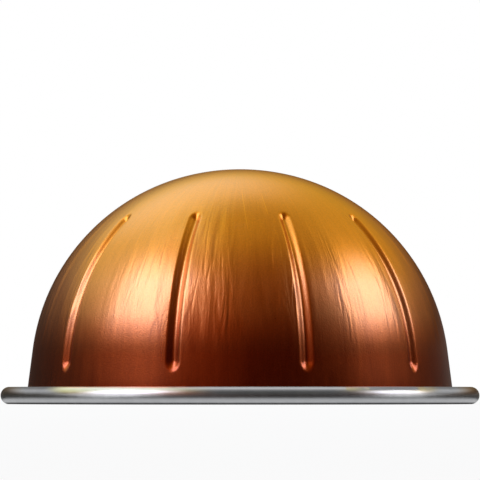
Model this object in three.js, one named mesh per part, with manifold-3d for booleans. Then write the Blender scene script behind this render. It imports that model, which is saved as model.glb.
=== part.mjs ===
// A dome-shaped coffee pod, standing on its rolled rim with the dome upwards.
// Millimetres, +Z up. The origin is the centre of the ring that the rim stands on.
//
// The pod is a sealed pack, so it is one solid: a deep-drawn aluminium cup, the foil
// sealed across its mouth, and what they enclose. The cup's wall is a dome on a slightly
// tapered skirt. The skirt's foot turns out into a narrow flange, and the sheet's edge is
// rolled up from the flange into a hollow bead. Ten flutes are pressed into the wall.

import * as THREE from "three";
import { mergeVertices } from "three/addons/utils/BufferGeometryUtils.js";
import Module from "manifold-3d";

const { PI } = Math;
const { degToRad } = THREE.MathUtils;

// Wall: a skirt, a shoulder that curves in from it, and a flatter crown
const SKIRT_HEIGHT = 6.13;
const SKIRT_DRAFT = degToRad(7.35);
const SKIRT_FILLET = 0.4; // where the skirt meets the flange
const SHOULDER_RADIUS = 25.9;
const CROWN_RADIUS = 27.2;
const CROWN_HALF_ANGLE = degToRad(14);

// Flange, with the foil under it
const SHEET_THICKNESS = 0.25;
const FLANGE_RECESS = 0.45; // from the plane the pod stands on up to the flange's underside
const TROUGH_WIDTH = 1.04; // between the skirt's foot and the bead
const BEND_RADIUS = 0.28; // inside the bend where the flange turns down into the bead
const FOIL_THICKNESS = 0.1;
const FOIL_MARGIN = 0.1; // from the foil's edge out to where the flange starts to bend

// Bead: the rolled edge
const BEAD_DIAMETER = 2.17;
const BEAD_LAND = 0.4; // width of the flat that the pod stands on
const BEAD_MOUTH = 0.2; // gap between the sheet's free edge and the flange

// Flutes, measured along the wall from the skirt's foot
const FLUTE_COUNT = 10;
const FLUTE_START = 3.1;
const FLUTE_LENGTH = 22.75;
const FLUTE_DEPTH = 0.45;
const FLUTE_WIDTH_LOW = 2.15;
const FLUTE_WIDTH_HIGH = 1.8;

// How finely the curves are cut into flats
const RIM_SEGMENTS = 60;
const COLUMNS_ACROSS_FLUTE = 8;
const COLUMNS_BETWEEN_FLUTES = 5;
const FILLET_STEPS = 2;
const ROWS_AT_FLUTE_END = 4;
const ROWS_ALONG_FLUTE = 8;
const ROWS_ABOVE_FLUTES = 7;
const BEND_STEPS = 2;
const BEAD_STEPS = 4; // in each quarter turn, outside
const BEAD_STEPS_INSIDE = 3; // in each quarter turn, inside

// Heights of the flange and the foil
const FLANGE_TOP = FLANGE_RECESS + SHEET_THICKNESS;
const FLANGE_MIDDLE = FLANGE_RECESS + SHEET_THICKNESS / 2;
const FOIL_BOTTOM = FLANGE_RECESS - FOIL_THICKNESS;

/** The point of a circle in the section plane, where x is the radius from the axis and y is the height. */
function onCircle(centre, radius, angle) {
  return new THREE.Vector2(centre.x + radius * Math.cos(angle), centre.y + radius * Math.sin(angle));
}

// The wall's arcs. The crown's centre is on the axis, and the two arcs touch at CROWN_START.
const CROWN_START = PI / 2 - CROWN_HALF_ANGLE;
const CENTRE_OFFSET = CROWN_RADIUS - SHOULDER_RADIUS;
const SHOULDER_CENTRE = new THREE.Vector2(
  CENTRE_OFFSET * Math.cos(CROWN_START),
  FLANGE_TOP + SKIRT_HEIGHT - SHOULDER_RADIUS * Math.sin(SKIRT_DRAFT),
);
const CROWN_CENTRE = new THREE.Vector2(0, SHOULDER_CENTRE.y - CENTRE_OFFSET * Math.sin(CROWN_START));
const SKIRT_LENGTH = SKIRT_HEIGHT / Math.cos(SKIRT_DRAFT);
const SHOULDER_LENGTH = SHOULDER_RADIUS * (CROWN_START - SKIRT_DRAFT);
const CROWN_LENGTH = CROWN_RADIUS * CROWN_HALF_ANGLE;
const WALL_LENGTH = SKIRT_LENGTH + SHOULDER_LENGTH + CROWN_LENGTH;

/** The wall's point at a distance up from the skirt's foot, and how far its outside faces upwards. */
function wallAt(distance) {
  const upShoulder = distance - SKIRT_LENGTH;
  const upCrown = upShoulder - SHOULDER_LENGTH;
  if (upCrown > 0) {
    const slope = CROWN_START + upCrown / CROWN_RADIUS;
    return { point: onCircle(CROWN_CENTRE, CROWN_RADIUS, slope), slope };
  }
  const slope = SKIRT_DRAFT + Math.max(0, upShoulder) / SHOULDER_RADIUS;
  const point = onCircle(SHOULDER_CENTRE, SHOULDER_RADIUS, slope);
  const downSkirt = Math.max(0, -upShoulder);
  point.x += downSkirt * Math.sin(SKIRT_DRAFT);
  point.y -= downSkirt * Math.cos(SKIRT_DRAFT);
  return { point, slope };
}

// The bead's circle, set out from the skirt's foot. The land is a chord of it at height 0.
const BEAD_RADIUS = BEAD_DIAMETER / 2;
const LAND_ANGLE = Math.asin(BEAD_LAND / 2 / BEAD_RADIUS);
const BEAD_CENTRE = new THREE.Vector2(
  wallAt(0).point.x + TROUGH_WIDTH + BEAD_RADIUS,
  BEAD_RADIUS * Math.cos(LAND_ANGLE),
);

// The bend's centre is under the flange, where the bend runs smoothly into the bead.
const BEND_DROP = BEAD_CENTRE.y - (FLANGE_RECESS - BEND_RADIUS);
const BEND_REACH = Math.sqrt((BEAD_RADIUS + BEND_RADIUS) ** 2 - BEND_DROP ** 2);
const BEND_CENTRE = new THREE.Vector2(BEAD_CENTRE.x - BEND_REACH, BEAD_CENTRE.y - BEND_DROP);
const BEND_END_ANGLE = Math.atan2(BEND_DROP, BEND_REACH);

/** Points on an arc in the section plane, both ends included. */
function arc(centre, radius, from, to, steps) {
  const angles = [from, ...spread(from, to, steps)];
  return angles.map((angle) => onCircle(centre, radius, angle));
}

/** Evenly spaced values after from, up to and including to. */
function spread(from, to, steps) {
  return Array.from({ length: steps }, (_, i) => from + ((to - from) * (i + 1)) / steps);
}

/** Half of the section through the foil, the flange and the bead, from the axis out and back. */
function rimSection() {
  const rollStart = BEND_END_ANGLE - PI;
  const rollEnd = PI - Math.asin((FLANGE_TOP + BEAD_MOUTH - BEAD_CENTRE.y) / BEAD_RADIUS);
  const inside = BEAD_RADIUS - SHEET_THICKNESS;
  const foilRadius = BEND_CENTRE.x - FOIL_MARGIN;
  return [
    new THREE.Vector2(0, FOIL_BOTTOM),
    new THREE.Vector2(foilRadius, FOIL_BOTTOM),
    new THREE.Vector2(foilRadius, FLANGE_RECESS),
    ...arc(BEND_CENTRE, BEND_RADIUS, PI / 2, BEND_END_ANGLE, BEND_STEPS),
    ...arc(BEAD_CENTRE, BEAD_RADIUS, rollStart, -PI / 2 - LAND_ANGLE, BEND_STEPS).slice(1),
    ...arc(BEAD_CENTRE, BEAD_RADIUS, -PI / 2 + LAND_ANGLE, 0, BEAD_STEPS),
    ...arc(BEAD_CENTRE, BEAD_RADIUS, 0, PI / 2, BEAD_STEPS).slice(1),
    ...arc(BEAD_CENTRE, BEAD_RADIUS, PI / 2, rollEnd, BEAD_STEPS).slice(1),
    ...arc(BEAD_CENTRE, inside, rollEnd, PI / 2, BEAD_STEPS_INSIDE),
    ...arc(BEAD_CENTRE, inside, PI / 2, 0, BEAD_STEPS_INSIDE).slice(1),
    ...arc(BEAD_CENTRE, inside, 0, -PI / 2, BEAD_STEPS_INSIDE).slice(1),
    ...arc(BEAD_CENTRE, inside, -PI / 2, rollStart, BEND_STEPS).slice(1),
    ...arc(BEND_CENTRE, BEND_RADIUS + SHEET_THICKNESS, BEND_END_ANGLE, PI / 2, BEND_STEPS).slice(1),
    new THREE.Vector2(0, FLANGE_TOP),
  ];
}

/** A flute's half-width at a distance up the wall. It narrows evenly from its lower end to its upper one. */
function fluteHalfWidth(distance) {
  const share = THREE.MathUtils.clamp((distance - FLUTE_START) / FLUTE_LENGTH, 0, 1);
  return THREE.MathUtils.lerp(FLUTE_WIDTH_LOW, FLUTE_WIDTH_HIGH, share) / 2;
}

/** How deep a flute is at a distance up the wall and a distance aside of its middle line. */
function fluteDepth(distance, aside) {
  const halfWidth = fluteHalfWidth(distance);
  const belowStraight = FLUTE_START + halfWidth - distance;
  const aboveStraight = distance - (FLUTE_START + FLUTE_LENGTH - halfWidth);
  const beyond = Math.max(belowStraight, aboveStraight, 0);
  const share = Math.min(1, Math.hypot(aside, beyond) / halfWidth);
  return (FLUTE_DEPTH * (1 + Math.cos(PI * share))) / 2;
}

/** Where the mesh has its rows, as distances up the wall: close together at the flutes' round ends. */
function wallRows() {
  const end = FLUTE_START + FLUTE_LENGTH;
  const straightStart = FLUTE_START + FLUTE_WIDTH_LOW / 2;
  const straightEnd = end - FLUTE_WIDTH_HIGH / 2;
  return [
    FLUTE_START,
    ...spread(FLUTE_START, straightStart, ROWS_AT_FLUTE_END),
    ...spread(straightStart, straightEnd, ROWS_ALONG_FLUTE),
    ...spread(straightEnd, end, ROWS_AT_FLUTE_END),
    ...spread(end, WALL_LENGTH, ROWS_ABOVE_FLUTES),
  ];
}

/**
 * The place of a mesh column, as its share of the way across a flute or across the panel beside it.
 * The columns are gathered at the flutes, whose middles are half a pitch to each side of -Y.
 */
function columnAt(index) {
  const columns = COLUMNS_ACROSS_FLUTE + COLUMNS_BETWEEN_FLUTES;
  const place = index % columns;
  return {
    flute: Math.floor(index / columns),
    across: Math.min(place / COLUMNS_ACROSS_FLUTE, 1),
    panel: Math.max(0, place - COLUMNS_ACROSS_FLUTE) / COLUMNS_BETWEEN_FLUTES,
  };
}

/** The wall as a lathed solid, with the flutes pressed in square to its surface. */
function wallGeometry() {
  const rows = wallRows();
  const filletTop = SKIRT_FILLET / Math.cos(SKIRT_DRAFT);
  const filletCentre = wallAt(filletTop).point.add(new THREE.Vector2(SKIRT_FILLET, 0));
  const fillet = arc(filletCentre, SKIRT_FILLET, -PI / 2, -PI, FILLET_STEPS);
  const foot = new THREE.Vector2(fillet[0].x, FLANGE_MIDDLE);
  const base = [new THREE.Vector2(0, FLANGE_MIDDLE), foot, ...fillet];
  const outline = [...base, ...rows.map((distance) => wallAt(distance).point)];
  outline.at(-1).x = 0;

  const columns = COLUMNS_ACROSS_FLUTE + COLUMNS_BETWEEN_FLUTES;
  const geometry = new THREE.LatheGeometry(outline, columns * FLUTE_COUNT);
  const position = geometry.getAttribute("position");
  const pitch = (2 * PI) / FLUTE_COUNT;
  const upperEndRadius = wallAt(FLUTE_START + FLUTE_LENGTH).point.x;
  for (let i = 0; i < position.count; i++) {
    const level = i % outline.length;
    const { x: radius, y: height } = outline[level];
    const distance = level < base.length ? 0 : rows[level - base.length];
    const { slope } = wallAt(distance);
    const { flute, across, panel } = columnAt(Math.floor(i / outline.length));
    const halfAngle = fluteHalfWidth(distance) / Math.max(radius, upperEndRadius);
    const fromMiddle = halfAngle * (2 * across - 1) + panel * (pitch - 2 * halfAngle);
    const depth = panel > 0 ? 0 : fluteDepth(distance, fromMiddle * radius);
    const azimuth = (flute + 1 / 2) * pitch + fromMiddle - PI / 2;
    const pressed = radius - depth * Math.cos(slope);
    position.setXYZ(
      i,
      pressed * Math.cos(azimuth),
      pressed * Math.sin(azimuth),
      height - depth * Math.sin(slope),
    );
  }
  return geometry;
}

const wasm = await Module();
wasm.setup();

/** A closed geometry as a manifold-3d solid. */
function solid(geometry) {
  const bare = geometry.clone().deleteAttribute("normal").deleteAttribute("uv");
  const merged = mergeVertices(bare);
  return new wasm.Manifold(
    new wasm.Mesh({
      numProp: 3,
      vertProperties: merged.getAttribute("position").array,
      triVerts: merged.index.array,
    }),
  );
}

/** A manifold-3d solid as a geometry. */
function geometryOf(made) {
  const { vertProperties, triVerts } = made.getMesh();
  const geometry = new THREE.BufferGeometry();
  geometry.setAttribute("position", new THREE.BufferAttribute(vertProperties, 3));
  geometry.setIndex(new THREE.BufferAttribute(triVerts, 1));
  geometry.computeVertexNormals();
  return geometry;
}

const wall = solid(wallGeometry());
const rim = solid(new THREE.LatheGeometry(rimSection(), RIM_SEGMENTS).rotateX(PI / 2));

const lacquer = new THREE.MeshStandardMaterial({ color: 0xc47a2c, roughness: 0.35, metalness: 1 });
const pod = new THREE.Mesh(geometryOf(wall.add(rim)), lacquer);
pod.name = "coffee_pod";

const part = new THREE.Group();
part.add(pod);

export default part;
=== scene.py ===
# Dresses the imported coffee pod: a lacquered dome with pressed flutes, a bare rolled rim
# and a foil lid, in a plain pale studio. Sizes are in metres.

import math

import bpy
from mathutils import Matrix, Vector, noise


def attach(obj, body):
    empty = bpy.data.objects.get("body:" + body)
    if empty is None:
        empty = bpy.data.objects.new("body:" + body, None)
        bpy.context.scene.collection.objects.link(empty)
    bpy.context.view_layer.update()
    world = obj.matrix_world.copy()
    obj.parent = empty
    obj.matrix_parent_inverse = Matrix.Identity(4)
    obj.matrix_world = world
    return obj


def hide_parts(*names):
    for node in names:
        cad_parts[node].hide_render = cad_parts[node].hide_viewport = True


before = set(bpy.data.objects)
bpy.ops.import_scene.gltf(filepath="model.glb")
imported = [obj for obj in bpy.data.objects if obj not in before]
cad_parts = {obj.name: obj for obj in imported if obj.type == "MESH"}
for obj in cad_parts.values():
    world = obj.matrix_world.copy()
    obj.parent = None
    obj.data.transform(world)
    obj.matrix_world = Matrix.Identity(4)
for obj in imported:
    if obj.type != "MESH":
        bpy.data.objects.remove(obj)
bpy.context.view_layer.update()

MM = 0.001

# Wall: a skirt, a shoulder that curves in from it, and a flatter crown
SKIRT_HEIGHT = 6.13 * MM
SKIRT_DRAFT = math.radians(7.35)
SKIRT_FILLET = 0.4 * MM
SHOULDER_RADIUS = 25.9 * MM
CROWN_RADIUS = 27.2 * MM
CROWN_HALF_ANGLE = math.radians(14)

# Flange, with the foil under it
SHEET_THICKNESS = 0.25 * MM
FLANGE_RECESS = 0.45 * MM
TROUGH_WIDTH = 1.04 * MM
BEND_RADIUS = 0.28 * MM
FOIL_THICKNESS = 0.1 * MM
FOIL_MARGIN = 0.1 * MM
FOIL_UNEVENNESS = 0.06 * MM
FOIL_RISE = 0.6  # how far the foil's middle is raised, as a share of its unevenness
FOIL_WAVE_LENGTH = 7 * MM
FOIL_EDGE_POWER = 4  # the higher it is, the nearer to the seal the unevenness goes

# Bead: the rolled edge
BEAD_DIAMETER = 2.17 * MM
BEAD_LAND = 0.4 * MM
BEAD_MOUTH = 0.2 * MM

# Flutes, measured along the wall from the skirt's foot
FLUTE_COUNT = 10
FLUTE_START = 3.1 * MM
FLUTE_LENGTH = 22.75 * MM
FLUTE_DEPTH = 0.45 * MM
FLUTE_WIDTH_LOW = 2.15 * MM
FLUTE_WIDTH_HIGH = 1.8 * MM
FLUTE_LOW_END = 1.5  # how long the slope at a flute's lower end is, against that at its sides
FLUTE_HIGH_END = 1.5  # the same at its upper end

# How finely the curves are cut
RIM_SEGMENTS = 240
COLUMNS_ACROSS_FLUTE = 26
COLUMNS_BETWEEN_FLUTES = 16
FILLET_STEPS = 6
ROWS_BELOW_FLUTES = 8
ROWS_AT_FLUTE_END = 14
ROWS_ALONG_FLUTE = 44
ROWS_ABOVE_FLUTES = 40
BEND_STEPS = 8
BEAD_OUTER_STEPS = 56
BEAD_INNER_STEPS = 42
FOIL_RINGS = 40

FLANGE_TOP = FLANGE_RECESS + SHEET_THICKNESS
FLANGE_MIDDLE = FLANGE_RECESS + SHEET_THICKNESS / 2
FOIL_BOTTOM = FLANGE_RECESS - FOIL_THICKNESS


def on_circle(centre, radius, angle):
    """A point of a circle in the section plane: radius from the axis, and height."""
    return centre[0] + radius * math.cos(angle), centre[1] + radius * math.sin(angle)


# The wall's arcs
CROWN_START = math.pi / 2 - CROWN_HALF_ANGLE
CENTRE_OFFSET = CROWN_RADIUS - SHOULDER_RADIUS
SHOULDER_CENTRE = (
    CENTRE_OFFSET * math.cos(CROWN_START),
    FLANGE_TOP + SKIRT_HEIGHT - SHOULDER_RADIUS * math.sin(SKIRT_DRAFT),
)
CROWN_CENTRE = (0, SHOULDER_CENTRE[1] - CENTRE_OFFSET * math.sin(CROWN_START))
SKIRT_LENGTH = SKIRT_HEIGHT / math.cos(SKIRT_DRAFT)
SHOULDER_LENGTH = SHOULDER_RADIUS * (CROWN_START - SKIRT_DRAFT)
WALL_LENGTH = SKIRT_LENGTH + SHOULDER_LENGTH + CROWN_RADIUS * CROWN_HALF_ANGLE


def wall_at(distance):
    """The wall's radius and height at a distance up from its foot, and how far it faces upwards."""
    up_shoulder = distance - SKIRT_LENGTH
    up_crown = up_shoulder - SHOULDER_LENGTH
    if up_crown > 0:
        slope = CROWN_START + up_crown / CROWN_RADIUS
        return *on_circle(CROWN_CENTRE, CROWN_RADIUS, slope), slope
    slope = SKIRT_DRAFT + max(0, up_shoulder) / SHOULDER_RADIUS
    radius, height = on_circle(SHOULDER_CENTRE, SHOULDER_RADIUS, slope)
    down = max(0, -up_shoulder)
    return radius + down * math.sin(SKIRT_DRAFT), height - down * math.cos(SKIRT_DRAFT), slope


# The bead's circle, and the bend that leads into it
BEAD_RADIUS = BEAD_DIAMETER / 2
LAND_ANGLE = math.asin(BEAD_LAND / 2 / BEAD_RADIUS)
BEAD_CENTRE = (
    wall_at(0)[0] + TROUGH_WIDTH + BEAD_RADIUS,
    BEAD_RADIUS * math.cos(LAND_ANGLE),
)
BEND_DROP = BEAD_CENTRE[1] - (FLANGE_RECESS - BEND_RADIUS)
BEND_REACH = math.sqrt((BEAD_RADIUS + BEND_RADIUS) ** 2 - BEND_DROP**2)
BEND_CENTRE = (BEAD_CENTRE[0] - BEND_REACH, BEAD_CENTRE[1] - BEND_DROP)
BEND_END_ANGLE = math.atan2(BEND_DROP, BEND_REACH)


def spread(start, end, steps):
    """Evenly spaced values after start, up to and including end."""
    return [start + (end - start) * (i + 1) / steps for i in range(steps)]


def arc(centre, radius, start, end, steps):
    """Points on an arc in the section plane, both ends included."""
    return [on_circle(centre, radius, angle) for angle in [start, *spread(start, end, steps)]]


def flute_half_width(distance):
    share = min(1, max(0, (distance - FLUTE_START) / FLUTE_LENGTH))
    return (FLUTE_WIDTH_LOW + (FLUTE_WIDTH_HIGH - FLUTE_WIDTH_LOW) * share) / 2


def flute_depth(distance, aside):
    half_width = flute_half_width(distance)
    low_end = half_width * FLUTE_LOW_END
    high_end = half_width * FLUTE_HIGH_END
    below = (FLUTE_START + low_end - distance) / low_end
    above = (distance - (FLUTE_START + FLUTE_LENGTH - high_end)) / high_end
    share = min(1, math.hypot(aside / half_width, max(below, above, 0)))
    return FLUTE_DEPTH * (1 + math.cos(math.pi * share)) / 2


def new_object(name, points, faces, smooth=True):
    mesh = bpy.data.meshes.new(name)
    mesh.from_pydata(points, [], faces)
    mesh.polygons.foreach_set("use_smooth", [smooth] * len(mesh.polygons))
    mesh.validate()
    piece = bpy.data.objects.new(name, mesh)
    bpy.context.scene.collection.objects.link(piece)
    return piece


def ring_faces(first, second, count):
    """Quads between two rings of points, given the index of each ring's first point."""
    return [
        (first + i, first + (i + 1) % count, second + (i + 1) % count, second + i)
        for i in range(count)
    ]


def fan_faces(pole, ring, count, upwards):
    """Triangles between a pole and a ring."""
    turned = [(pole, ring + i, ring + (i + 1) % count) for i in range(count)]
    return turned if upwards else [face[::-1] for face in turned]


def closed_lathe(name, rings):
    """A closed piece from rings of points, from the lowest to the highest, with a pole at each end."""
    count = len(rings[0])
    points = [point for ring in rings for point in ring]
    faces = []
    for level in range(len(rings) - 1):
        faces += ring_faces(level * count, (level + 1) * count, count)
    bottom, top = len(points), len(points) + 1
    points += [(0, 0, rings[0][0][2]), (0, 0, rings[-1][0][2])]
    faces += fan_faces(bottom, 0, count, upwards=False)
    faces += fan_faces(top, (len(rings) - 1) * count, count, upwards=True)
    return new_object(name, points, faces)


def turned_ring(name, section):
    """A ring-shaped piece, lathed from a closed section that stays clear of the axis."""
    angles = [2 * math.pi * i / RIM_SEGMENTS for i in range(RIM_SEGMENTS)]
    points = [(r * math.cos(a), r * math.sin(a), z) for r, z in section for a in angles]
    faces = []
    for level in range(len(section)):
        following = (level + 1) % len(section)
        faces += ring_faces(level * RIM_SEGMENTS, following * RIM_SEGMENTS, RIM_SEGMENTS)
    return new_object(name, points, faces)


def wall_rows():
    end = FLUTE_START + FLUTE_LENGTH
    straight_start = FLUTE_START + FLUTE_LOW_END * FLUTE_WIDTH_LOW / 2
    straight_end = end - FLUTE_HIGH_END * FLUTE_WIDTH_HIGH / 2
    above = spread(end, WALL_LENGTH, ROWS_ABOVE_FLUTES)
    return [
        *spread(SKIRT_FILLET / math.cos(SKIRT_DRAFT), FLUTE_START, ROWS_BELOW_FLUTES),
        *spread(FLUTE_START, straight_start, ROWS_AT_FLUTE_END),
        *spread(straight_start, straight_end, ROWS_ALONG_FLUTE),
        *spread(straight_end, end, ROWS_AT_FLUTE_END),
        *above[:-1],
    ]


def wall_ring(distance):
    """One ring of the wall, with its points gathered at the flutes and pressed in there."""
    radius, height, slope = wall_at(distance)
    pitch = 2 * math.pi / FLUTE_COUNT
    upper_end_radius = wall_at(FLUTE_START + FLUTE_LENGTH)[0]
    half_angle = flute_half_width(distance) / max(radius, upper_end_radius)
    ring = []
    for flute in range(FLUTE_COUNT):
        middle = (flute + 1 / 2) * pitch - math.pi / 2
        for i in range(COLUMNS_ACROSS_FLUTE + COLUMNS_BETWEEN_FLUTES):
            across = min(i / COLUMNS_ACROSS_FLUTE, 1)
            panel = max(0, i - COLUMNS_ACROSS_FLUTE) / COLUMNS_BETWEEN_FLUTES
            aside = half_angle * (2 * across - 1) + panel * (pitch - 2 * half_angle)
            depth = 0 if panel > 0 else flute_depth(distance, aside * radius)
            r = radius - depth * math.cos(slope)
            z = height - depth * math.sin(slope)
            ring.append((r * math.cos(middle + aside), r * math.sin(middle + aside), z))
    return ring


def make_wall():
    """The lacquered dome, closed off below by a disc that lies inside the flange."""
    fillet_radius, fillet_height, _ = wall_at(SKIRT_FILLET / math.cos(SKIRT_DRAFT))
    centre = (fillet_radius + SKIRT_FILLET, fillet_height)
    fillet = arc(centre, SKIRT_FILLET, -math.pi / 2, -math.pi, FILLET_STEPS)
    angles = [math.atan2(y, x) for x, y, _ in wall_ring(0)]
    base = [(fillet[0][0], FLANGE_MIDDLE), *fillet]
    rings = [[(r * math.cos(a), r * math.sin(a), z) for a in angles] for r, z in base]
    rings += [wall_ring(distance) for distance in wall_rows()]
    piece = closed_lathe("pod_wall", rings)
    piece.data.vertices[-1].co.z = wall_at(WALL_LENGTH)[1]
    return piece


def make_rim():
    """The bare flange and the bead that the sheet's edge is rolled into."""
    roll_start = BEND_END_ANGLE - math.pi
    roll_end = math.pi - math.asin((FLANGE_TOP + BEAD_MOUTH - BEAD_CENTRE[1]) / BEAD_RADIUS)
    inside = BEAD_RADIUS - SHEET_THICKNESS
    flange_inside = wall_at(0)[0] - SHEET_THICKNESS
    lip = SHEET_THICKNESS / 2
    lip_centre = on_circle(BEAD_CENTRE, BEAD_RADIUS - lip, roll_end)
    section = [
        (flange_inside, FLANGE_RECESS),
        *arc(BEND_CENTRE, BEND_RADIUS, math.pi / 2, BEND_END_ANGLE, BEND_STEPS),
        *arc(BEAD_CENTRE, BEAD_RADIUS, roll_start, -math.pi / 2 - LAND_ANGLE, BEND_STEPS)[1:],
        *arc(BEAD_CENTRE, BEAD_RADIUS, -math.pi / 2 + LAND_ANGLE, roll_end, BEAD_OUTER_STEPS),
        *arc(lip_centre, lip, roll_end, roll_end + math.pi, BEND_STEPS)[1:-1],
        *arc(BEAD_CENTRE, inside, roll_end, roll_start, BEAD_INNER_STEPS),
        *arc(BEND_CENTRE, BEND_RADIUS + SHEET_THICKNESS, BEND_END_ANGLE, math.pi / 2, BEND_STEPS)[1:],
        (flange_inside, FLANGE_TOP),
    ]
    return turned_ring("pod_rim", section)


def make_foil():
    """The foil lid: flat where it is sealed to the flange, and faintly uneven inside that."""
    edge = BEND_CENTRE[0] - FOIL_MARGIN
    seal = wall_at(0)[0] - SHEET_THICKNESS
    radii = [*spread(0, seal, FOIL_RINGS), *spread(seal, edge, 2)]
    angles = [2 * math.pi * i / RIM_SEGMENTS for i in range(RIM_SEGMENTS)]

    def rise(r, a):
        inner = max(0.0, 1 - (r / seal) ** FOIL_EDGE_POWER)
        place = Vector((r * math.cos(a), r * math.sin(a), 0)) / FOIL_WAVE_LENGTH
        return inner * FOIL_UNEVENNESS * (FOIL_RISE + noise.noise(place))

    def ring(r, height, wavy):
        return [
            (r * math.cos(a), r * math.sin(a), height + (rise(r, a) if wavy else 0)) for a in angles
        ]

    top = FLANGE_RECESS
    rings = [ring(r, FOIL_BOTTOM, True) for r in radii]
    rings.append(ring(edge, top, False))
    rings += [ring(r, top, False) for r in (seal, seal / 2)]
    piece = closed_lathe("pod_foil", rings)
    piece.data.vertices[-2].co.z = FOIL_BOTTOM + rise(0, 0)
    return piece


WHITE = (1, 1, 1, 1)


class Nodes:
    """A short way to write the node tree of a material or a world."""

    def __init__(self, owner):
        self.owner = owner
        owner.use_nodes = True
        self.tree = owner.node_tree
        self.tree.nodes.clear()

    def add(self, kind, **settings):
        node = self.tree.nodes.new(kind)
        for key, value in settings.items():
            setattr(node, key, value)
        return node

    def link(self, source, target):
        self.tree.links.new(source, target)

    def put(self, socket, value):
        """Links a socket to another one, or sets its value."""
        if isinstance(value, bpy.types.NodeSocket):
            self.link(value, socket)
        else:
            socket.default_value = value

    def place(self):
        """The object's own coordinates."""
        return self.add("ShaderNodeTexCoord").outputs["Object"]

    def split(self, vector):
        node = self.add("ShaderNodeSeparateXYZ")
        self.link(vector, node.inputs[0])
        return node.outputs

    def join(self, x, y, z=0.0):
        node = self.add("ShaderNodeCombineXYZ")
        for socket, value in zip(node.inputs, (x, y, z)):
            self.put(socket, value)
        return node.outputs[0]

    def math(self, operation, a, b=0.0):
        node = self.add("ShaderNodeMath", operation=operation)
        self.put(node.inputs[0], a)
        self.put(node.inputs[1], b)
        return node.outputs[0]

    def flat_length(self, x, y):
        squares = self.math("ADD", self.math("MULTIPLY", x, x), self.math("MULTIPLY", y, y))
        return self.math("SQRT", squares)

    def distance(self, place, centre=(0, 0, 0)):
        node = self.add("ShaderNodeVectorMath", operation="DISTANCE")
        self.link(place, node.inputs[0])
        node.inputs[1].default_value = centre
        return node.outputs["Value"]

    def noise(self, vector, scale, detail, roughness=0.5, wander=0.0):
        node = self.add("ShaderNodeTexNoise")
        self.link(vector, node.inputs["Vector"])
        node.inputs["Scale"].default_value = scale
        node.inputs["Detail"].default_value = detail
        node.inputs["Roughness"].default_value = roughness
        node.inputs["Distortion"].default_value = wander
        return node.outputs["Fac"]

    def spread(self, value, low, high, to_low=0.0, to_high=1.0, smooth=True):
        """Moves a value from one range to another, and stops it at that range's ends."""
        node = self.add("ShaderNodeMapRange", interpolation_type="SMOOTHSTEP" if smooth else "LINEAR")
        self.link(value, node.inputs["Value"])
        node.inputs["From Min"].default_value = low
        node.inputs["From Max"].default_value = high
        node.inputs["To Min"].default_value = to_low
        node.inputs["To Max"].default_value = to_high
        return node.outputs["Result"]

    def blend_of(self, layers, middle):
        """A middle value, moved up and down by each of several noises as much as its share says."""
        total = middle
        for layer, share in layers:
            change = self.math("MULTIPLY", self.math("SUBTRACT", layer, 0.5), share)
            total = self.math("ADD", change, total)
        return total

    def ramp(self, value, stops):
        node = self.add("ShaderNodeValToRGB")
        self.link(value, node.inputs["Fac"])
        elements = node.color_ramp.elements
        while len(elements) < len(stops):
            elements.new(0.5)
        for element, (place, colour) in zip(elements, stops):
            element.position = place
            element.color = (*colour, 1)
        return node.outputs["Color"]

    def mix(self, share, first, second):
        """A mix of two colours, which are the node's inputs 6 and 7."""
        node = self.add("ShaderNodeMix", data_type="RGBA")
        self.link(share, node.inputs["Factor"])
        self.link(first, node.inputs[6])
        self.link(second, node.inputs[7])
        return node.outputs[2]

    def bump(self, height, distance, normal=None):
        node = self.add("ShaderNodeBump")
        self.link(height, node.inputs["Height"])
        node.inputs["Distance"].default_value = distance
        if normal:
            self.link(normal, node.inputs["Normal"])
        return node.outputs["Normal"]

    def metal(self, colour, rough, normal):
        shader = self.add("ShaderNodeBsdfPrincipled")
        self.link(colour, shader.inputs["Base Color"])
        self.link(rough, shader.inputs["Roughness"])
        self.link(normal, shader.inputs["Normal"])
        shader.inputs["Metallic"].default_value = 1.0
        return shader

    def glow(self, colour, strength=1.0):
        node = self.add("ShaderNodeEmission")
        self.put(node.inputs["Color"], colour)
        self.put(node.inputs["Strength"], strength)
        return node.outputs[0]

    def clear(self):
        node = self.add("ShaderNodeBsdfTransparent")
        node.inputs["Color"].default_value = WHITE
        return node.outputs[0]

    def both(self, first, second):
        """The sum of two shaders."""
        node = self.add("ShaderNodeAddShader")
        self.link(first, node.inputs[0])
        self.link(second, node.inputs[1])
        return node.outputs[0]

    def either(self, share, first, second):
        """A mix of two shaders."""
        node = self.add("ShaderNodeMixShader")
        self.link(share, node.inputs[0])
        self.link(first, node.inputs[1])
        self.link(second, node.inputs[2])
        return node.outputs[0]

    def finish(self, shader, output="ShaderNodeOutputMaterial"):
        self.link(shader, self.add(output).inputs["Surface"])
        return self.owner


def material_nodes(name):
    return Nodes(bpy.data.materials.new(name))


# Lacquer: its colour at some shares of the dome's height, copper at the foot and gold at the crown
# The copper is the lacquer's own. Its steep darkening towards the foot is painted shade, and its paler,
# bluer tone at 0.38 to 0.5 of the height is a painted highlight tint.
LACQUER_COLOURS_WITH_PAINTED_LIGHT = [
    (0.0, (0.35, 0.046, 0.008)),
    (0.2, (0.62, 0.121, 0.025)),
    (0.3, (0.78, 0.240, 0.076)),
    (0.38, (0.85, 0.350, 0.136)),
    (0.5, (0.86, 0.37, 0.15)),
    (0.65, (0.86, 0.335, 0.038)),
    (0.8, (0.85, 0.330, 0.010)),
    (1.0, (0.84, 0.345, 0.005)),
]
COLOUR_DRIFT = 0.06  # how far the colours wander up and down, as a share of the dome's height
DRIFT_SCALE = 3.0
AXIS_CLEARANCE = 0.5 * MM  # keeps the direction from the axis defined at the crown

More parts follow.
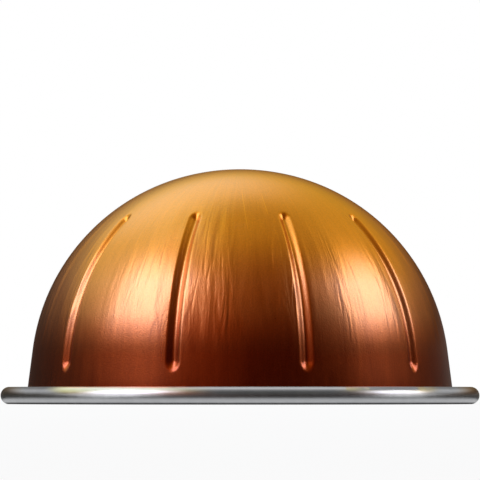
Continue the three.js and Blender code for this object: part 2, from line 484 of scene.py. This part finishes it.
# Brushing: broad wavy streaks, fine lines and a fine grain. All three change the tone everywhere,
# and the streaks have depth only in some patches of a belt around the dome.
STREAK_HEIGHT_SCALE = 6.5
STREAK_SCALE = 24.0
STREAK_WANDER = 0.5
STREAK_DEPTH = 0.18 * MM
STREAK_BELT_START = (0.12, 0.4)  # the shares of the dome's height over which the belt sets in
STREAK_BELT_END = (0.95, 0.6)  # the same from above
PATCH_SCALE = 5.0
PATCH_EDGES = (0.35, 0.65)
LINE_HEIGHT_SCALE = 2.5
LINE_SCALE = 210.0
LINE_RAGGEDNESS = 0.6
LINE_DEPTH = 0.003 * MM
GRAIN_SCALE = 5600.0
GRAIN_DEPTH = 0.015 * MM
STREAK_TONE = 0.22
LINE_TONE = 0.24
GRAIN_TONE = 0.34
LACQUER_ROUGHNESS = 0.30
LACQUER_ROUGHNESS_CHANGE = 0.10
COAT_WEIGHT = 0.8
COAT_ROUGHNESS = 0.2
COAT_IOR = 1.6

# Two faint scratches on the crown: lean, offset, lowest and highest point
SCRATCHES = [
    (0.15, 4.13 * MM, 20.9 * MM, 26.3 * MM),
    (0.31, 10.60 * MM, 22.6 * MM, 26.2 * MM),
]
SCRATCH_HALF_WIDTH = 0.07 * MM
SCRATCH_FADE = 1 * MM
SCRATCH_TONE = 0.35


def around_coordinates(n, height_scale):
    """Coordinates whose grain runs up the wall: the direction from the axis, and a scaled height."""
    x, y, z = n.split(n.place())
    radius = n.math("MAXIMUM", n.flat_length(x, y), AXIS_CLEARANCE)
    height = n.math("MULTIPLY", z, height_scale)
    return n.join(n.math("DIVIDE", x, radius), n.math("DIVIDE", y, radius), height)


def scratch_mask(n, lean, offset, low, high):
    """1 on a thin leaning line down the front of the crown, and 0 beside it."""
    x, y, z = n.split(n.place())
    aside = n.math("SUBTRACT", n.math("ADD", x, n.math("MULTIPLY", z, lean)), offset)
    line = n.spread(n.math("ABSOLUTE", aside), 0, SCRATCH_HALF_WIDTH, 1, 0)
    lower_end = n.spread(z, low, low + SCRATCH_FADE)
    upper_end = n.spread(z, high, high - SCRATCH_FADE)
    ends = n.math("MULTIPLY", lower_end, upper_end)
    return n.math("MULTIPLY", n.math("MULTIPLY", line, ends), n.math("LESS_THAN", y, 0))


def lacquer_colour_with_painted_light(n, line_place):
    """The lacquer's colour with its painted shade and painted highlight tint, without its brushing, and the
    share of the dome's height that gives it.
    """
    height = n.split(n.place())[2]
    drift = n.noise(line_place, DRIFT_SCALE, detail=3)
    share = n.spread(height, 0, wall_at(WALL_LENGTH)[1], smooth=False)
    level = n.blend_of([(drift, COLOUR_DRIFT)], share)
    return n.ramp(level, LACQUER_COLOURS_WITH_PAINTED_LIGHT), level


def lacquer_material():
    """Brushed aluminium under a clear lacquer that runs from gold at the crown to copper at the foot, with
    painted shade towards the foot and a painted highlight tint at mid height.
    """
    n = material_nodes("gold_to_copper_lacquer_with_painted_light")
    line_place = around_coordinates(n, LINE_HEIGHT_SCALE)
    streak_place = around_coordinates(n, STREAK_HEIGHT_SCALE)
    # this colour carries painted shade towards the foot and a painted highlight tint at mid height
    colour, level = lacquer_colour_with_painted_light(n, line_place)
    streaks = n.noise(streak_place, STREAK_SCALE, detail=2, wander=STREAK_WANDER)
    lines = n.noise(line_place, LINE_SCALE, detail=2, roughness=LINE_RAGGEDNESS)
    grain = n.noise(n.place(), GRAIN_SCALE, detail=1)
    patches = n.spread(n.noise(line_place, PATCH_SCALE, detail=2), *PATCH_EDGES)
    belt = n.math("MULTIPLY", n.spread(level, *STREAK_BELT_START), n.spread(level, *STREAK_BELT_END))
    waves = n.math("MULTIPLY", streaks, n.math("MULTIPLY", patches, belt))
    tone = n.blend_of([(streaks, STREAK_TONE), (lines, LINE_TONE), (grain, GRAIN_TONE)], 1.0)
    for scratch in SCRATCHES:
        tone = n.math("ADD", tone, n.math("MULTIPLY", scratch_mask(n, *scratch), SCRATCH_TONE))
    tinted = n.add("ShaderNodeVectorMath", operation="SCALE")
    n.link(colour, tinted.inputs[0])
    n.link(tone, tinted.inputs["Scale"])
    rough = n.blend_of([(streaks, LACQUER_ROUGHNESS_CHANGE)], LACQUER_ROUGHNESS)
    normal = n.bump(waves, STREAK_DEPTH)
    normal = n.bump(lines, LINE_DEPTH, normal)
    normal = n.bump(grain, GRAIN_DEPTH, normal)
    shader = n.metal(tinted.outputs[0], rough, normal)
    shader.inputs["Coat Weight"].default_value = COAT_WEIGHT
    shader.inputs["Coat Roughness"].default_value = COAT_ROUGHNESS
    shader.inputs["Coat IOR"].default_value = COAT_IOR
    return n.finish(shader.outputs[0])


# Bare aluminium
RIM_COLOURS = [(0.3, (0.74, 0.755, 0.78)), (0.7, (0.82, 0.835, 0.86))]
RIM_LINE_SCALE = 9000
RIM_LINE_DEPTH = 0.003 * MM
RIM_MOTTLE_SCALE = 900.0
RIM_ROUGHNESS = 0.30
RIM_ROUGHNESS_CHANGE = 0.10
RIM_ANISOTROPY = 0.7
QUARTER_TURN = 0.25


def rim_material():
    """Bare aluminium, with fine lines that run around the bead."""
    n = material_nodes("bare_aluminium")
    x, y, z = n.split(n.place())
    across = n.math("MULTIPLY", n.flat_length(x, y), RIM_LINE_SCALE)
    up = n.math("MULTIPLY", z, RIM_LINE_SCALE)
    lines = n.noise(n.join(across, up), 1.0, detail=2)
    mottle = n.noise(n.place(), RIM_MOTTLE_SCALE, detail=3)
    rough = n.blend_of([(mottle, RIM_ROUGHNESS_CHANGE)], RIM_ROUGHNESS)
    shader = n.metal(n.ramp(mottle, RIM_COLOURS), rough, n.bump(lines, RIM_LINE_DEPTH))
    shader.inputs["Anisotropic"].default_value = RIM_ANISOTROPY
    shader.inputs["Anisotropic Rotation"].default_value = QUARTER_TURN
    tangent = n.add("ShaderNodeTangent", direction_type="RADIAL", axis="Z")
    n.link(tangent.outputs[0], shader.inputs["Tangent"])
    return n.finish(shader.outputs[0])


# Foil
FOIL_COLOURS = [(0.3, (0.70, 0.695, 0.69)), (0.7, (0.80, 0.795, 0.79))]
FOIL_GRAIN_SCALES = (40, 9000, 1)  # along the grain, across it, and upwards
FOIL_GRAIN_DEPTH = 0.003 * MM
FOIL_DENT_SCALE = 260.0
FOIL_DENT_DEPTH = 0.05 * MM
FOIL_ROUGHNESS = 0.33
FOIL_ROUGHNESS_CHANGE = 0.14


def foil_material():
    """Satin foil with the fine straight grain that rolling leaves."""
    n = material_nodes("satin_foil")
    stretch = n.add("ShaderNodeMapping")
    n.link(n.place(), stretch.inputs["Vector"])
    stretch.inputs["Scale"].default_value = FOIL_GRAIN_SCALES
    grain = n.noise(stretch.outputs[0], 1.0, detail=3)
    dents = n.noise(n.place(), FOIL_DENT_SCALE, detail=3)
    rough = n.blend_of([(grain, FOIL_ROUGHNESS_CHANGE)], FOIL_ROUGHNESS)
    normal = n.bump(grain, FOIL_GRAIN_DEPTH, n.bump(dents, FOIL_DENT_DEPTH))
    return n.finish(n.metal(n.ramp(grain, FOIL_COLOURS), rough, normal).outputs[0])


# Floor and world: white where they are seen, and dimmer as light
FLOOR_SIZE = 6.0
FLOOR_DROP = 0.03 * MM  # keeps the floor clear of the pod's foot
FLOOR_GREY = (0.85, 0.85, 0.85, 1)
FLOOR_GLOW_SHARE = 0.9
WORLD_LIGHT = 0.45


def seen_mask(n):
    """1 for camera, glossy and transmission rays, and 0 for the rays that light the scene."""
    path = n.add("ShaderNodeLightPath").outputs
    seen = n.math("MAXIMUM", path["Is Camera Ray"], path["Is Glossy Ray"])
    return n.math("MAXIMUM", seen, path["Is Transmission Ray"])


def make_floor():
    """A white floor that keeps the pod's shadow."""
    n = material_nodes("white_floor")
    diffuse = n.add("ShaderNodeBsdfDiffuse")
    diffuse.inputs["Color"].default_value = FLOOR_GREY
    glow_share = n.math("MULTIPLY", seen_mask(n), FLOOR_GLOW_SHARE)
    shader = n.either(glow_share, diffuse.outputs[0], n.glow(WHITE))
    floor = new_panel("floor", FLOOR_SIZE, FLOOR_SIZE)
    floor.data.materials.append(n.finish(shader))
    floor.location.z = -FLOOR_DROP


def make_world():
    world = bpy.data.worlds.new("studio")
    bpy.context.scene.world = world
    n = Nodes(world)
    background = n.add("ShaderNodeBackground")
    background.inputs["Color"].default_value = WHITE
    n.link(n.spread(seen_mask(n), 0, 1, WORLD_LIGHT, 1, smooth=False), background.inputs["Strength"])
    n.finish(background.outputs[0], "ShaderNodeOutputWorld")


def new_panel(name, width, height):
    """A flat panel around the origin."""
    x, y = width / 2, height / 2
    corners = [(-x, -y, 0), (x, -y, 0), (x, y, 0), (-x, y, 0)]
    return new_object(name, corners, [(0, 1, 2, 3)], smooth=False)


AIM = Vector((0, 0, 0.012))  # the middle of the pod, which the lamps face


def toward(azimuth, elevation, distance):
    """A place seen from the pod: azimuth 0 is straight behind it, and positive is to the right."""
    a, e = math.radians(azimuth), math.radians(elevation)
    level = math.cos(e)
    return AIM + distance * Vector((math.sin(a) * level, math.cos(a) * level, math.sin(e)))


def seen_in_gloss_only(card):
    """Marks a studio card that only the pod's gloss shows."""
    card.visible_camera = card.visible_diffuse = card.visible_shadow = False
    card.visible_transmission = False


# Cove: the room that the dome mirrors, with its colour at some shares of the way up to the top
COVE_RADIUS = 1.1
COVE_ELEVATIONS = (-2, 89)
COVE_STEPS = 96
COVE_LEVELS = 32
# The stretches over which its left side passes into its right side, and its front into its back
COVE_LEFT_TO_RIGHT = (-0.45 * COVE_RADIUS, 0.2 * COVE_RADIUS)
COVE_FRONT_TO_BACK = (-0.45 * COVE_RADIUS, 0.25 * COVE_RADIUS)
COVE_ZENITH = (0.52, 0.41, 0.09)
COVE_LEFT_FRONT = [
    (0.0, (0.20, 0.17, 0.15)),
    (0.06, (0.08, 0.020, 0.010)),
    (0.16, (0.125, 0.027, 0.003)),
    (0.28, (0.26, 0.062, 0.004)),
    (0.40, (0.42, 0.115, 0.008)),
    (0.53, (0.48, 0.18, 0.006)),
    (0.67, (0.51, 0.27, 0.012)),
    (0.81, (0.54, 0.38, 0.05)),
    (1.0, COVE_ZENITH),
]
COVE_RIGHT_FRONT = [
    (0.0, (0.018, 0.002, 0.001)),
    (0.16, (0.036, 0.006, 0.001)),
    (0.28, (0.060, 0.014, 0.001)),
    (0.40, (0.095, 0.027, 0.002)),
    (0.53, (0.15, 0.046, 0.002)),
    (0.67, (0.18, 0.066, 0.003)),
    (0.81, (0.28, 0.16, 0.02)),
    (1.0, COVE_ZENITH),
]
COVE_LEFT_BACK = [
    (0.0, (0.026, 0.020, 0.016)),
    (0.09, (0.036, 0.030, 0.025)),
    (0.2, (0.15, 0.095, 0.065)),
    (0.28, (0.42, 0.35, 0.18)),
    (0.38, (0.74, 0.70, 0.28)),
    (0.63, (0.72, 0.82, 0.66)),
    (0.86, (0.82, 0.90, 0.56)),
    (1.0, COVE_ZENITH),
]
COVE_RIGHT_BACK = [
    (0.0, (0.12, 0.11, 0.10)),
    (0.09, (0.040, 0.018, 0.010)),
    (0.2, (0.22, 0.12, 0.05)),
    (0.28, (0.44, 0.29, 0.045)),
    (0.38, (0.66, 0.475, 0.06)),
    (0.63, (0.62, 0.53, 0.13)),
    (0.86, (0.45, 0.36, 0.12)),
    (1.0, COVE_ZENITH),
]


def make_cove():
    """A graded cove around the studio, dark and warm near the floor, which only gloss shows."""
    low, high = COVE_ELEVATIONS
    elevations = [low, *spread(low, high, COVE_LEVELS)]
    turns = [360 * i / COVE_STEPS for i in range(COVE_STEPS)]
    points = [tuple(toward(a, e, COVE_RADIUS)) for e in elevations for a in turns]
    faces = []
    for level in range(COVE_LEVELS):
        faces += ring_faces(level * COVE_STEPS, (level + 1) * COVE_STEPS, COVE_STEPS)
    cove = new_object("cove", points, faces)
    n = material_nodes("graded_cove")
    rightward, backward, up = n.split(n.place())
    elevation = n.math("DIVIDE", n.math("ARCSINE", n.math("DIVIDE", up, COVE_RADIUS)), math.pi / 2)
    to_right = n.spread(rightward, *COVE_LEFT_TO_RIGHT)
    to_back = n.spread(backward, *COVE_FRONT_TO_BACK)
    front = n.mix(to_right, n.ramp(elevation, COVE_LEFT_FRONT), n.ramp(elevation, COVE_RIGHT_FRONT))
    back = n.mix(to_right, n.ramp(elevation, COVE_LEFT_BACK), n.ramp(elevation, COVE_RIGHT_BACK))
    cove.data.materials.append(n.finish(n.glow(n.mix(to_back, front, back))))
    seen_in_gloss_only(cove)


def shade_by_distance(n, shades):
    """A card's grey, from its shades at some distances from the axis."""
    near, far = shades[0][0], shades[-1][0]
    share = n.spread(n.distance(n.place()), near, far, smooth=False)
    stops = [((r - near) / (far - near), (shade, shade, shade)) for r, shade in shades]
    return n.ramp(share, stops)


# The card on the floor around the pod: its shade at some distances from the axis, in metres. It glows: the
# dark ring under the bead's edge is a painted contact shadow, and the light ring just outside it is painted
# light.
FLOOR_CARD = [
    (0.0280, 0.03),
    (0.0294, 0.03),
    (0.0297, 0.50),
    (0.0306, 0.44),
    (0.0320, 0.04),
    (0.0400, 0.03),
]
FLOOR_CARD_DROP = 0.01 * MM
FLOOR_CARD_STEPS = 96
# Painted pools of light on that card, where the softboxes would light it: the middle of each pool and its
# shade, and their reach
PAINTED_LIGHT_POOLS = [((-0.0270, -0.0336, 0), 2.0), ((0.0333, -0.0273, 0), 1.5)]
PAINTED_LIGHT_POOL_REACH = 0.0125


def make_floor_card():
    """A glowing card on the floor around the pod, with a painted contact shadow under the bead's edge,
    painted light next to it, dark beyond, and painted pools of light, so that the rim has an edge.
    """
    turns = [2 * math.pi * i / FLOOR_CARD_STEPS for i in range(FLOOR_CARD_STEPS)]
    radii = (FLOOR_CARD[0][0], COVE_RADIUS)
    points = [(r * math.cos(a), r * math.sin(a), 0) for r in radii for a in turns]
    card = new_object("floor_card", points, ring_faces(0, FLOOR_CARD_STEPS, FLOOR_CARD_STEPS))
    n = material_nodes("floor_card_painted_shadow_and_light")
    # painted pools of light, which glow on top of the card's shades
    pools = 0.0
    for centre, shade in PAINTED_LIGHT_POOLS:
        pool = n.spread(n.distance(n.place(), centre), PAINTED_LIGHT_POOL_REACH, 0, 0, shade)
        pools = n.math("ADD", pool, pools)
    shader = n.both(n.glow(shade_by_distance(n, FLOOR_CARD)), n.glow(WHITE, pools))
    card.data.materials.append(n.finish(shader))
    card.location.z = -FLOOR_CARD_DROP
    seen_in_gloss_only(card)


# The cards low over the rim or beside it: their height, and their shade at some distances from the axis
RIM_CARD_HEIGHT = 2.4 * MM
RIM_CARD_STEPS = 48
FRONT_RIM_CARD = [
    (0.0286, 0.12),
    (0.0292, 0.45),
    (0.0295, 0.7),
    (0.0299, 0.33),
    (0.0302, 0.14),
    (0.0307, 0.07),
    (0.0380, 0.045),
]
RIGHT_RIM_CARD = [(0.0286, 0.26), (0.0298, 0.26), (0.0301, 0.22)]
SIDE_RIM_CARD = [
    (0.0286, 0.15),
    (0.0296, 0.2),
    (0.0300, 0.4),
    (0.0305, 0.45),
    (0.0315, 0.25),
    (0.0330, 0.18),
]
FAR_RIM_CARD = [(0.0335, 0.6), (0.0360, 0.9), (0.0460, 1.0), (0.0700, 0.9)]


def make_rim_card(name, shades, sides, fade):
    """A card low over a part of the rim or beside it, which bare metal shows and not the warm cove.

    Its sides are in degrees from straight in front. It fades out towards them, and the fade says
    over how much of the sine of that angle.
    """
    first, last = (math.radians(side) for side in sides)
    turns = [first, *spread(first, last, RIM_CARD_STEPS)]
    radii = (shades[0][0], shades[-1][0])
    points = [(r * math.sin(a), -r * math.cos(a), RIM_CARD_HEIGHT) for r in radii for a in turns]
    outer = len(turns)
    faces = [(i, i + 1, outer + i + 1, outer + i) for i in range(RIM_CARD_STEPS)]
    card = new_object(name, points, faces, smooth=False)
    n = material_nodes(name)
    rightward = n.split(n.place())[0]
    aside = n.math("DIVIDE", rightward, n.distance(n.place()))
    left, right = math.sin(first), math.sin(last)
    from_left = n.spread(aside, left, left + fade)
    from_right = n.spread(aside, right, right - fade)
    covered = n.math("MULTIPLY", from_left, from_right)
    shader = n.either(covered, n.clear(), n.glow(shade_by_distance(n, shades)))
    card.data.materials.append(n.finish(shader))
    seen_in_gloss_only(card)


# Softboxes: white in the middle, and tinted towards their edges
SOFTBOX_DISTANCE = 0.6
SOFTBOX_WHITE = (0.96, 1.02, 1.22)
WHITE_FROM = 0.8  # the share of a softbox's full light at which its colour is white
PALE_EDGE = (1, 0.9, 0.8)
COPPER_EDGE = (1, 0.65, 0.4)
GOLD_EDGE = (1, 0.8, 0.35)


def softbox(name, azimuth, elevation, size, radiance, fade, edge):
    """A softbox that faces the pod and fades out towards its edges, where it has the edge's colour."""
    panel = new_panel(name, *size)
    panel.location = toward(azimuth, elevation, SOFTBOX_DISTANCE)
    panel.rotation_euler = (AIM - panel.location).to_track_quat("Z", "Y").to_euler()
    n = material_nodes(name)
    share = 1.0
    for place, length in zip(n.split(n.place()), size):
        faded = n.spread(n.math("ABSOLUTE", place), length / 2, length / 2 * (1 - fade))
        share = n.math("MULTIPLY", faded, share)
    colour = n.ramp(share, [(0.0, edge), (WHITE_FROM, SOFTBOX_WHITE)])
    shader = n.both(n.glow(colour, n.math("MULTIPLY", share, radiance)), n.clear())
    panel.data.materials.append(n.finish(shader))
    panel.visible_camera = panel.visible_shadow = False


# Camera: the photograph's, level with the rim and a little turned up
SENSOR_WIDTH = 36
LENS = 347.3
CAMERA_PLACE = (0, -0.5813, 0.00157)
CAMERA_TILT = 0.0327  # upwards, in radians
CLIP_RANGE = (0.01, 20)


def make_camera():
    data = bpy.data.cameras.new("camera")
    data.sensor_width = SENSOR_WIDTH
    data.lens = LENS
    data.clip_start, data.clip_end = CLIP_RANGE
    camera = bpy.data.objects.new("camera", data)
    camera.location = CAMERA_PLACE
    camera.rotation_euler = (math.pi / 2 + CAMERA_TILT, 0, 0)
    bpy.context.scene.collection.objects.link(camera)
    bpy.context.scene.camera = camera


def dress(piece, material):
    piece.data.materials.append(material)
    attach(piece, "root")
    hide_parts("coffee_pod")


make_camera()
dress(make_wall(), lacquer_material())
dress(make_rim(), rim_material())
dress(make_foil(), foil_material())

make_floor()
make_world()
make_cove()
make_floor_card()
make_rim_card("front_rim_card", FRONT_RIM_CARD, (-22, 42), 0.3)
make_rim_card("right_rim_card", RIGHT_RIM_CARD, (26, 58), 0.1)
make_rim_card("right_side_rim_card", SIDE_RIM_CARD, (48, 88), 0.1)
make_rim_card("left_side_rim_card", SIDE_RIM_CARD, (-88, -46), 0.1)
make_rim_card("left_far_rim_card", FAR_RIM_CARD, (-68, -20), 0.2)
make_rim_card("right_far_rim_card", FAR_RIM_CARD, (40, 82), 0.17)
softbox("left_softbox", -117, 38, (0.54, 0.54), radiance=2.2, fade=0.6, edge=PALE_EDGE)
softbox("right_softbox", 91, 32, (0.54, 0.43), radiance=1.95, fade=0.65, edge=COPPER_EDGE)
softbox("back_softbox", -20, 52, (0.80, 0.60), radiance=0.46, fade=0.8, edge=GOLD_EDGE)
softbox("left_top_softbox", -100, 66, (0.44, 0.34), radiance=0.34, fade=0.8, edge=PALE_EDGE)

bpy.context.scene.view_settings.view_transform = "Standard"
